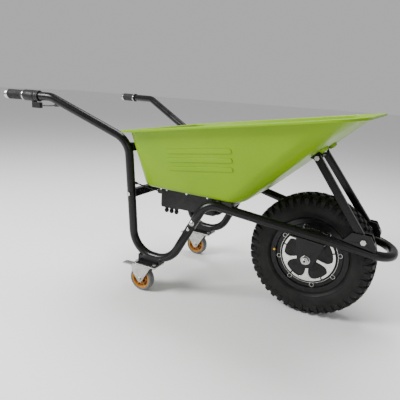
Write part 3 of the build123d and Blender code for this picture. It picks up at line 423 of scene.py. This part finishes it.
def trapezium(length, halves, corners, grow=0.0, arc=ARC_STEPS, run=RUN_STEPS):
    """A rounded trapezium as (along, across) points, with the same count whatever its size."""
    sharp = [
        (Vector((-grow, -halves[0] - grow)), corners[0]),
        (Vector((length + grow, -halves[1] - grow)), corners[1]),
        (Vector((length + grow, halves[1] + grow)), corners[1]),
        (Vector((-grow, halves[0] + grow)), corners[0])]
    arcs = []
    for index, (here, size) in enumerate(sharp):
        before = (sharp[index - 1][0] - here).normalized()
        after = (sharp[(index + 1) % 4][0] - here).normalized()
        half_angle = before.angle(after) / 2
        centre = here + (before + after).normalized() * size / math.sin(half_angle)
        reach = size / math.tan(half_angle)
        start = here + before * reach - centre
        end = here + after * reach - centre
        first = math.atan2(start.y, start.x)
        turn = (math.atan2(end.y, end.x) - first) % math.tau
        angles = [first + turn * step / arc for step in range(arc + 1)]
        arcs.append([centre + Vector((math.cos(angle), math.sin(angle))) * size for angle in angles])
    spots = []
    for index, points in enumerate(arcs):
        spots += points
        following = arcs[(index + 1) % 4][0]
        spots += [points[-1].lerp(following, step / run) for step in range(1, run)]
    return spots


def bend(before, corner, after, steps=4):
    """A rounded corner as points."""
    curve = []
    for step in range(steps + 1):
        t = step / steps
        curve.append(before * (1 - t) ** 2 + corner * 2 * t * (1 - t) + after * t * t)
    return curve


def between(first, last, count):
    return [first.lerp(last, step / count) for step in range(1, count)]


rim_run = (RIM_FRONT - RIM_REAR).normalized()
rim_up = rim_run.cross(Vector((0, 1, 0)))
rim_length = (RIM_FRONT - RIM_REAR).length


def tub_shell():
    """The moulded tub as one closed skin: underside, walls, rolled rim, inside and floor."""
    floor_ring = [
        FLOOR_REAR + Vector((x, y, 0)) for x, y in trapezium(FLOOR_LENGTH, FLOOR_HALF, FLOOR_CORNER)]
    rim_ring = [
        RIM_REAR + rim_run * x + Vector((0, y, 0)) for x, y in trapezium(rim_length, RIM_HALF, RIM_CORNER)]
    lip_ring = [
        RIM_REAR + rim_run * x + Vector((0, y, 0))
        for x, y in trapezium(rim_length, RIM_HALF, FLANGE_CORNER, grow=FLANGE)]
    count = len(floor_ring)
    columns = []
    for k in range(count):
        foot, top, lip = floor_ring[k], rim_ring[k], lip_ring[k]
        along = (floor_ring[(k + 1) % count] - floor_ring[k - 1]).normalized()
        inward = Vector((0, 0, 1)).cross(along)
        lip_along = (lip_ring[(k + 1) % count] - lip_ring[k - 1]).normalized()
        out = lip_along.cross(rim_up)
        wall = (top - foot).normalized()
        through = wall.cross(along).normalized() * WALL
        foot_in = foot + through + wall * ((WALL - through.z) / wall.z)
        top_in = top + through - wall * (through.dot(rim_up) / wall.dot(rim_up))
        half_angle = inward.angle(wall) / 2
        reach = EDGE_ROUND / math.tan(half_angle)
        reach_in = (EDGE_ROUND - WALL) / math.tan(half_angle)
        under = top - wall * (WALL / wall.dot(rim_up))
        column = [foot + inward * (reach + 0.012)]
        column += bend(foot + inward * reach, foot, foot + wall * reach, 6)
        column += between(foot + wall * reach, under - wall * 0.007, 7)
        column += bend(under - wall * 0.007, under, under + out * 0.006)
        column.append(lip - out * 0.0056 - rim_up * WALL)
        column += bend(
            lip - out * 0.0052 - rim_up * 0.0052, lip - out * 0.005 - rim_up * 0.0085,
            lip - out * 0.0032 - rim_up * 0.0085, 2)
        column += bend(lip - out * 0.002 - rim_up * 0.0085, lip - rim_up * 0.0085, lip - rim_up * 0.0065, 3)
        column += bend(lip - rim_up * 0.0035, lip, lip - out * 0.0035)
        column += bend(top_in + out * 0.006, top_in, top_in - wall * 0.007, 5)
        column += between(top_in - wall * 0.007, foot_in + wall * reach_in, 7)
        column += bend(foot_in + wall * reach_in, foot_in, foot_in + inward * reach_in, 6)
        column.append(foot_in + inward * (reach_in + 0.012))
        columns.append(column)
    height = len(columns[0])
    points = [column[row] for row in range(height) for column in columns]
    rows = [[0] * count for row in range(height)]
    faces = strips(rows)
    faces.append(tuple(range(count)))
    faces.append(tuple(range((height - 1) * count, height * count)))
    tub = mesh_piece("tub_shell", points, faces, GREEN, "chassis")
    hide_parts("tub")
    return tub


WALL_SOLVE_STEPS = 12


def long_wall(outline):
    """Both ends of the straight part of the right-hand long wall in an outline of points."""
    return outline[ARC_STEPS], outline[ARC_STEPS + RUN_STEPS]


def side_wall_point(side, x, z, raise_by):
    """A point on the outside of the tub's long wall, in front of it by raise_by."""
    floor_ends = long_wall(
        [FLOOR_REAR + Vector((a, b, 0)) for a, b in trapezium(FLOOR_LENGTH, FLOOR_HALF, FLOOR_CORNER)])
    rim_ends = long_wall(
        [RIM_REAR + rim_run * a + Vector((0, b, 0)) for a, b in trapezium(rim_length, RIM_HALF, RIM_CORNER)])
    rise = 0.5
    for _ in range(WALL_SOLVE_STEPS):
        rear = floor_ends[0].lerp(rim_ends[0], rise)
        front = floor_ends[1].lerp(rim_ends[1], rise)
        along = (x - rear.x) / (front.x - rear.x)
        low = floor_ends[0].lerp(floor_ends[1], along)
        high = rim_ends[0].lerp(rim_ends[1], along)
        rise = (z - low.z) / (high.z - low.z)
    normal = (high - low).cross(front - rear).normalized()
    if normal.y > 0:
        normal = -normal
    spot = low.lerp(high, rise) + normal * raise_by
    return Vector((spot.x, -side * spot.y, spot.z))


RIB_SUNK = 0.002
RIB_PROUD = 0.0026


def raised_bar(name, side, start, end, height):
    """A plain rounded bar moulded on the wall from start to end, each (x, z)."""
    run = Vector(end) - Vector(start)
    across = Vector((-run.y, run.x)).normalized() * height / 2
    outline = []
    for step in range(9):
        angle = math.pi * step / 8
        outline.append(
            Vector(end) + across * math.cos(angle) + run.normalized() * math.sin(angle) * height / 2)
    for step in range(9):
        angle = math.pi * step / 8
        outline.append(
            Vector(start) - across * math.cos(angle) - run.normalized() * math.sin(angle) * height / 2)
    count = len(outline)
    points = [side_wall_point(side, spot.x, spot.y, -RIB_SUNK) for spot in outline]
    points += [side_wall_point(side, spot.x, spot.y, RIB_PROUD) for spot in outline]
    faces = [tuple(range(count)), tuple(range(count, 2 * count))]
    faces += [(k, (k + 1) % count, count + (k + 1) % count, count + k) for k in range(count)]
    bar = mesh_piece(name, points, faces, GREEN, "chassis")
    bevel(bar, 0.0012, 3, 50)
    return bar


WALL_RIBS = 3
RIB_SPACING = 0.031
RIB_START = (-0.040, 0.566)
RIB_END = (0.200, 0.598)
RIB_HEIGHT = 0.015


def tub_marks():
    """Plain raised ribs on each long wall."""
    for side, word in ((-1, "right"), (1, "left")):
        for k in range(WALL_RIBS):
            drop = RIB_SPACING * k
            start = (RIB_START[0], RIB_START[1] - drop)
            end = (RIB_END[0], RIB_END[1] - drop)
            raised_bar(f"{word}_tub_rib_{k + 1}", side, start, end, RIB_HEIGHT)


# ---------------------------------------------------------------- drive wheel

BLOCK_PITCHES = 46
SPOKES = 5
SPOKE_PHASE = math.radians(-17)


def wheel_point(radius, angle, y):
    return wheel_centre + Vector((radius * math.cos(angle), y, radius * math.sin(angle)))


def tyre_piece():
    half = [
        (0.1292, 0.0310), (0.1392, 0.0325), (0.1405, 0.0420), (0.1450, 0.0470), (0.1475, 0.0494),
        (0.1490, 0.0514), (0.1515, 0.0520), (0.1530, 0.0518), (0.1560, 0.0530), (0.1640, 0.0552),
        (0.1740, 0.0560), (0.1850, 0.0556), (0.1950, 0.0536), (0.2040, 0.0496), (0.2100, 0.0430),
        (0.2135, 0.0350), (0.2152, 0.0240), (0.2160, 0.0100)]
    profile = [(radius, -out) for radius, out in half] + list(reversed(half))
    carcass = turned(
        "tyre_carcass", profile, wheel_centre, (0, 1, 0), RUBBER, "drive_wheel", 180)
    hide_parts("tyre")
    return carcass


def tread_block(points, faces, angle, arc_half, low, high, skew):
    """Adds one knob; low and high are its (radius, y) foot and top corners from inner to outer edge."""
    start = len(points)
    for (radius_a, y_a), (radius_b, y_b), shrink in (low + (1.0,), high + (0.84,)):
        reach = arc_half * shrink / tyre_r
        lean = skew / tyre_r
        points.append(wheel_point(radius_a, angle - reach - lean, y_a))
        points.append(wheel_point(radius_a, angle + reach - lean, y_a))
        points.append(wheel_point(radius_b, angle + reach + lean, y_b))
        points.append(wheel_point(radius_b, angle - reach + lean, y_b))
    quads = ((0, 1, 2, 3), (4, 5, 6, 7), (0, 1, 5, 4), (1, 2, 6, 5), (2, 3, 7, 6), (3, 0, 4, 7))
    faces += [tuple(start + k for k in quad) for quad in quads]


def tread_blocks():
    points = []
    faces = []
    pitch = math.tau / BLOCK_PITCHES
    for k in range(BLOCK_PITCHES):
        for side in (-1, 1):
            angle = pitch * (k + (0.5 if side > 0 else 0.0))
            low = ((0.2145, side * 0.0015), (0.2135, side * 0.0265))
            high = ((0.2249, side * 0.0030), (0.2243, side * 0.0250))
            tread_block(points, faces, angle, 0.0098, low, high, 0.002 * side)
            angle += pitch / 2
            low = ((0.2120, side * 0.0285), (0.2010, side * 0.0500))
            high = ((0.2238, side * 0.0300), (0.2155, side * 0.0525))
            tread_block(points, faces, angle, 0.0100, low, high, -0.001 * side)
            reach = 0.0070 if k % 2 else 0.0088
            depth = 0.1900 if k % 2 else 0.1830
            low = ((0.2050, side * 0.0480), (depth, side * 0.0530))
            high = ((0.2130, side * 0.0545), (depth + 0.003, side * 0.0578))
            tread_block(points, faces, angle, reach, low, high, 0.0)
    blocks = mesh_piece("tyre_knobs", points, faces, RUBBER, "drive_wheel")
    bevel(blocks, 0.0013, 2, 30)
    return blocks


def polar(radius, degrees):
    angle = math.radians(degrees)
    return (radius * math.cos(angle), radius * math.sin(angle))


def ring_sector(inner, outer, first, last, steps=16):
    outline = [polar(outer, first + (last - first) * k / steps) for k in range(steps + 1)]
    outline += [polar(inner, last - (last - first) * k / steps) for k in range(steps + 1)]
    return outline


def spoke_outline(degrees):
    """A spoke: a slim stem that flares where it meets the ring."""
    half = [
        (0.0300, 0.0046), (0.0320, 0.0056), (0.0500, 0.0052), (0.0620, 0.0062), (0.0700, 0.0086),
        (0.0765, 0.0130), (0.0810, 0.0190), (0.0835, 0.0262)]
    side = [Vector(spot) for spot in half]
    head = [Vector(polar(0.0884, angle)) for angle in range(16, -17, -4)]
    outline = side + head + [Vector((spot.x, -spot.y)) for spot in reversed(side)]
    turn = Matrix.Rotation(math.radians(degrees), 2)
    return [tuple(turn @ spot) for spot in outline]


COVER_BOLTS = 8
COVER_BOLT_CIRCLE = 0.110
COVER_BOLT_PHASE = 13


def hub_cover(side, word):
    """The motor's end cover: a dished black disc, bright T spokes, a bright ring and a domed boss."""
    y = [side * value for value in (0.047, 0.058, 0.050, 0.0375, 0.0395, 0.0358, 0.0302)]
    profile = [
        (0.0130, y[0]), (0.0130, y[1], 0.001), (0.0265, y[1], 0.003), (0.0310, y[2], 0.003),
        (0.0345, y[3] + side * 0.001, 0.002), (0.0600, y[5], 0.002),
        (0.0860, y[4] - side * 0.0015, 0.001), (0.0975, y[4] - side * 0.0012, 0.001),
        (0.0990, y[5], 0.001), (0.1192, y[5], 0.002), (0.1200, y[6])]
    disc = turned(
        f"{word}_cover_disc", profile, wheel_centre, (0, 1, 0), HUB, "drive_wheel", 128)
    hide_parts(f"{word}_hub_cover")
    for k in range(SPOKES):
        degrees = math.degrees(SPOKE_PHASE) + 360 / SPOKES * k
        plate(
            f"{word}_hub_spoke_{k + 1}", spoke_outline(degrees), wheel_centre, side * 0.0352,
            side * 0.0412, BARE,
            "drive_wheel", 0.0008)
        plate(
            f"{word}_hub_arc_{k + 1}", ring_sector(0.0868, 0.0952, degrees - 34.6, degrees + 34.6),
            wheel_centre,
            side * 0.0360, side * 0.0414, BARE, "drive_wheel", 0.0008)
    thin = [
        (0.1026, side * 0.0355), (0.1026, side * 0.0364, 0.0002), (0.1036, side * 0.0364, 0.0002),
        (0.1036, side * 0.0355)]
    turned(f"{word}_hub_line", thin, wheel_centre, (0, 1, 0), BARE, "drive_wheel", 128)
    for k in range(COVER_BOLTS):
        x, z = polar(COVER_BOLT_CIRCLE, COVER_BOLT_PHASE + 360 / COVER_BOLTS * k)
        rim = [
            (0.0066, side * 0.0355), (0.0066, side * 0.0368, 0.0003), (0.0078, side * 0.0368, 0.0003),
            (0.0078, side * 0.0355)]
        seat = wheel_centre + Vector((x, 0, z))
        turned(f"{word}_bolt_seat_{k + 1}", rim, seat, (0, 1, 0), BARE, "drive_wheel", 40)


def valve_cap():
    stem_low, stem_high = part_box("valve_stem")
    centre = (stem_low + stem_high) / 2
    end = stem_low.y
    profile = [
        (0.0002, -0.0006), (0.0034, -0.0006, 0.0008), (0.0039, 0.001), (0.0039, 0.0085, 0.0004),
        (0.0034, 0.0088)]
    turned(
        "valve_cap", profile, Vector((centre.x, end, centre.z)), (0, 1, 0), YELLOW, "drive_wheel", 32)


# ---------------------------------------------------------------- casters, grips and bolts


CORE_RIBS = 6


def caster_wheel(word):
    centre = middle(f"{word}_caster_tread")
    profile = [
        (0.0392, -0.0135), (0.0405, -0.0150, 0.001), (0.0450, -0.0150, 0.003), (0.0488, -0.0110, 0.004),
        (0.0500, -0.0040, 0.004), (0.0500, 0.0040, 0.004), (0.0488, 0.0110, 0.004),
        (0.0450, 0.0150, 0.003), (0.0405, 0.0150, 0.001), (0.0392, 0.0135)]
    tread = turned(
        f"{word}_tread", profile, centre, (0, 1, 0), TREAD, f"{word}_caster_wheel", 96)
    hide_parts(f"{word}_caster_tread")
    body = f"{word}_caster_wheel"
    ring = [
        (0.0392, -0.0130), (0.0375, -0.0140, 0.001), (0.0335, -0.0140, 0.001), (0.0315, -0.0060, 0.001),
        (0.0315, 0.0060, 0.001), (0.0335, 0.0140, 0.001), (0.0375, 0.0140, 0.001), (0.0392, 0.0130)]
    core = turned(f"{word}_core_ring", ring, centre, (0, 1, 0), AMBER, body, 96)
    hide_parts(f"{word}_caster_core")
    # A dark-red disc between the core's ribs: painted shade where the slots show through to the dark.
    slot_shade_outline = [(0.0322, -0.0050), (0.0110, -0.0050), (0.0110, 0.0050), (0.0322, 0.0050)]
    turned(f"{word}_core_slot_shade_disc", slot_shade_outline, centre, (0, 1, 0), SLOT_SHADE_RED, body, 64)
    hub = [
        (0.0056, -0.0150), (0.0115, -0.0150, 0.001), (0.0125, -0.0080), (0.0125, 0.0080),
        (0.0115, 0.0150, 0.001), (0.0056, 0.0150)]
    turned(f"{word}_core_hub", hub, centre, (0, 1, 0), AMBER, body, 48)
    for k in range(CORE_RIBS):
        turn = 360 / CORE_RIBS * k
        plate(
            f"{word}_core_rib_{k + 1}", ring_sector(0.0120, 0.0330, turn - 5, turn + 5, 4), centre,
            -0.0095, 0.0095, AMBER, body, 0.0008)
    plate(
        f"{word}_core_band", ring_sector(0.0205, 0.0230, 0, 360, 60), centre, -0.0085, 0.0085, AMBER, body,
        0.0004)


GRIP_RIDGES = 10
GRIP_FIRST_RIDGE = 0.0230
GRIP_RIDGE_PITCH = 0.0058


def grip(side, word):
    start = Vector((wheel_centre.x - 1.157, side * 0.357, 0.716))
    direction = Vector((0.207, -side * 0.032, 0)).normalized()
    cap = [
        (0.0004, 0.0), (0.0150, 0.0, 0.004), (0.0178, 0.0060, 0.003), (0.0180, 0.0185, 0.001),
        (0.0165, 0.0190)]
    turned(f"{word}_grip_end", cap, start, direction, ZINC, "chassis", 72)
    profile = [(0.0165, 0.0188), (0.0184, 0.0190, 0.001), (0.0184, 0.0220, 0.001)]
    for k in range(GRIP_RIDGES):
        s = GRIP_FIRST_RIDGE + GRIP_RIDGE_PITCH * k
        profile += [
            (0.0183, s, 0.0005), (0.0171, s + 0.0012, 0.0005), (0.0171, s + 0.0024, 0.0005),
            (0.0183, s + 0.0036, 0.0005)]
    profile += [(0.0188, 0.0820, 0.001), (0.0188, 0.0858, 0.001), (0.0162, 0.0860)]
    piece = turned(f"{word}_ribbed_grip", profile, start, direction, GRIP, "chassis", 72)
    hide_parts(f"{word}_grip")


LEG_JOINT_BOLTS = ((0.014, 0.0095), (-0.014, 0.0055))


def leg_bolts():
    """Domed heads on the parted front legs, each where its CAD head is."""
    solid = nodes["leg_joint_bolts"]
    joint = Vector((wheel_centre.x - 0.3912, -0.2098, 0.3019))
    front = Vector((0.4534, 0.0689, 0.8886))
    out = (Vector((0, -1, 0)) + front * front.y).normalized()
    first = None
    for side, word in ((1, "right"), (-1, "left")):
        for number, (along, radius) in enumerate(LEG_JOINT_BOLTS):
            seat = joint + front * along + out * 0.0155
            place = Vector((seat.x, side * seat.y, seat.z))
            axis = Vector((out.x, side * out.y, out.z))
            profile = [
                (radius + 0.0006, 0.0), (radius + 0.0006, 0.001, 0.0004), (radius * 0.96, 0.0016, 0.0006),
                (radius * 0.82, radius * 0.30), (radius * 0.5, radius * 0.44),
                (radius * 0.2, radius * 0.49), (0.0002, radius * 0.5)]
            piece = turned(
                f"{word}_leg_bolt_{number + 1}", profile, place, axis, STEEL, "chassis", 40)
            first = first or piece
    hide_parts(solid.name)


def gland_domes():
    low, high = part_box("battery_box")
    for k, back in enumerate((0.010, 0.033, 0.056)):
        place = Vector((low.x + back, -0.080, low.z - 0.0195))
        profile = [
            (0.0002, -0.0095), (0.0050, -0.0085, 0.002), (0.0088, -0.0035, 0.003),
            (0.0092, 0.0030, 0.003), (0.0070, 0.0075, 0.002), (0.0050, 0.0085), (0.0050, 0.0120),
            (0.0085, 0.0125), (0.0085, 0.0180)]
        turned(f"gland_dome_{k + 1}", profile, place, (0, 0, 1), PLASTIC, "chassis", 40)


WALL_SEAT = Vector((wheel_centre.x - 0.0184, 0.071, 0.5911))
FRONT_WALL_UP = Vector((0.3540, 0.0, 0.3240)).normalized()
FRONT_WALL_OUT = Vector((0.3240, 0.0, -0.3540)).normalized()


def front_bosses():
    """A moulded boss with a small screw over each strut's top."""
    for side, word in ((-1, "right"), (1, "left")):
        seat = WALL_SEAT + FRONT_WALL_UP * 0.036
        seat.y = side * 0.076
        boss = [
            (0.0170, -0.002), (0.0150, 0.003, 0.002), (0.0125, 0.0085, 0.002), (0.0060, 0.0090),
            (0.0003, 0.0090)]
        turned(f"{word}_front_boss", boss, seat, FRONT_WALL_OUT, GREEN, "chassis", 40)
        head = [(0.0050, 0.0085), (0.0050, 0.0100, 0.0006), (0.0035, 0.0116, 0.0008), (0.0003, 0.0120)]
        turned(
            f"{word}_front_boss_screw", head, seat, FRONT_WALL_OUT, STEEL, "chassis", 24)


# ---------------------------------------------------------------- finishes of the kept CAD nodes

FINISHES = {
    "black_paint": (BLACK, 0.0009),
    "bolt_steel": (STEEL, 0.0006),
    "hub_black": (HUB, 0.0008),
    "zinc": (ZINC, 0.0006),
    "steel": (STEEL, 0.0004),
    "yellow_core": (AMBER, 0.0008),
    "black_plastic": (PLASTIC, 0.0012),
    "magnet": (ZINC, 0.0),
    "battery": (BATTERY, 0.002),
}
SOFT_EDGED = ("throttle_housing", "throttle_lever")
SOFT_EDGE = 0.0028
NO_EDGE = ("throttle_cable", "stator", "hub_bearings")


def slot_of(name):
    for part in frame["record"]["subparts"]:
        if part["node"] == name:
            return part["material_slot"]
    return "black_paint"


def dress_frame():
    for name, piece in nodes.items():
        if piece.hide_render:
            continue
        material, edge = FINISHES.get(slot_of(name), (BLACK, 0.0009))
        if name == "throttle_cable":
            material = CABLE
        if name == "cover_bolts":
            material = HUB
        if name in SOFT_EDGED:
            edge = SOFT_EDGE
        dress(name, material, 0.0 if name in NO_EDGE else edge)


# ---------------------------------------------------------------- studio


def area_light(name, place, aim, size, power, colour=(1, 1, 1)):
    data = bpy.data.lights.new(name, "AREA")
    data.shape = "RECTANGLE"
    data.size, data.size_y = size
    data.energy = power
    data.color = colour
    lamp = bpy.data.objects.new(name, data)
    lamp.location = place
    lamp.rotation_mode = "QUATERNION"
    lamp.rotation_quaternion = (Vector(aim) - Vector(place)).to_track_quat("-Z", "Y")
    bpy.context.scene.collection.objects.link(lamp)


def studio():
    ground = bpy.data.meshes.new("studio_floor")
    reach = 30.0
    ground.from_pydata(
        [(-reach, -reach, 0), (reach, -reach, 0), (reach, reach, 0), (-reach, reach, 0)], [],
        [(0, 1, 2, 3)])
    pale, shader = new_material("studio_floor", (0.86, 0.86, 0.86), 0.9)
    ground.materials.append(pale)
    floor = bpy.data.objects.new("studio_floor", ground)
    bpy.context.scene.collection.objects.link(floor)
    world = bpy.data.worlds.new("studio")
    world.use_nodes = True
    backdrop = world.node_tree.nodes["Background"]
    backdrop.inputs["Color"].default_value = (1.0, 1.0, 1.0, 1.0)
    backdrop.inputs["Strength"].default_value = 0.5
    bpy.context.scene.world = world
    area_light("key", (-1.9, -2.4, 2.5), (0, 0, 0.35), (1.2, 1.2), 185)
    area_light("fill", (2.4, -2.2, 1.4), (0.2, 0, 0.35), (1.2, 1.2), 8)
    area_light("top", (0.2, 0.6, 3.0), (0, 0, 0.4), (1.6, 1.6), 110)


def photo_camera():
    data = bpy.data.cameras.new("camera")
    data.sensor_width = 36.0
    data.lens = 36.59
    camera = bpy.data.objects.new("camera", data)
    turn, drop, roll = (math.radians(angle) for angle in (26.99, 15.05, 3.76))
    ahead = Vector((-math.sin(turn) * math.cos(drop), math.cos(turn) * math.cos(drop), -math.sin(drop)))
    level = Vector((math.cos(turn), math.sin(turn), 0))
    above = level.cross(ahead)
    right = level * math.cos(roll) + above * math.sin(roll)
    up = above * math.cos(roll) - level * math.sin(roll)
    pose = Matrix((right, up, -ahead)).transposed().to_4x4()
    pose.translation = Vector((wheel_centre.x + 0.262, -1.439, 0.774))
    camera.matrix_world = pose
    bpy.context.scene.collection.objects.link(camera)
    bpy.context.scene.camera = camera


tub_shell()
tub_marks()
tyre_piece()
tread_blocks()
for side, word in ((-1, "right"), (1, "left")):
    hub_cover(side, word)
    caster_wheel(word)
    grip(side, word)
valve_cap()
leg_bolts()
gland_domes()
front_bosses()
dress_frame()
studio()
photo_camera()
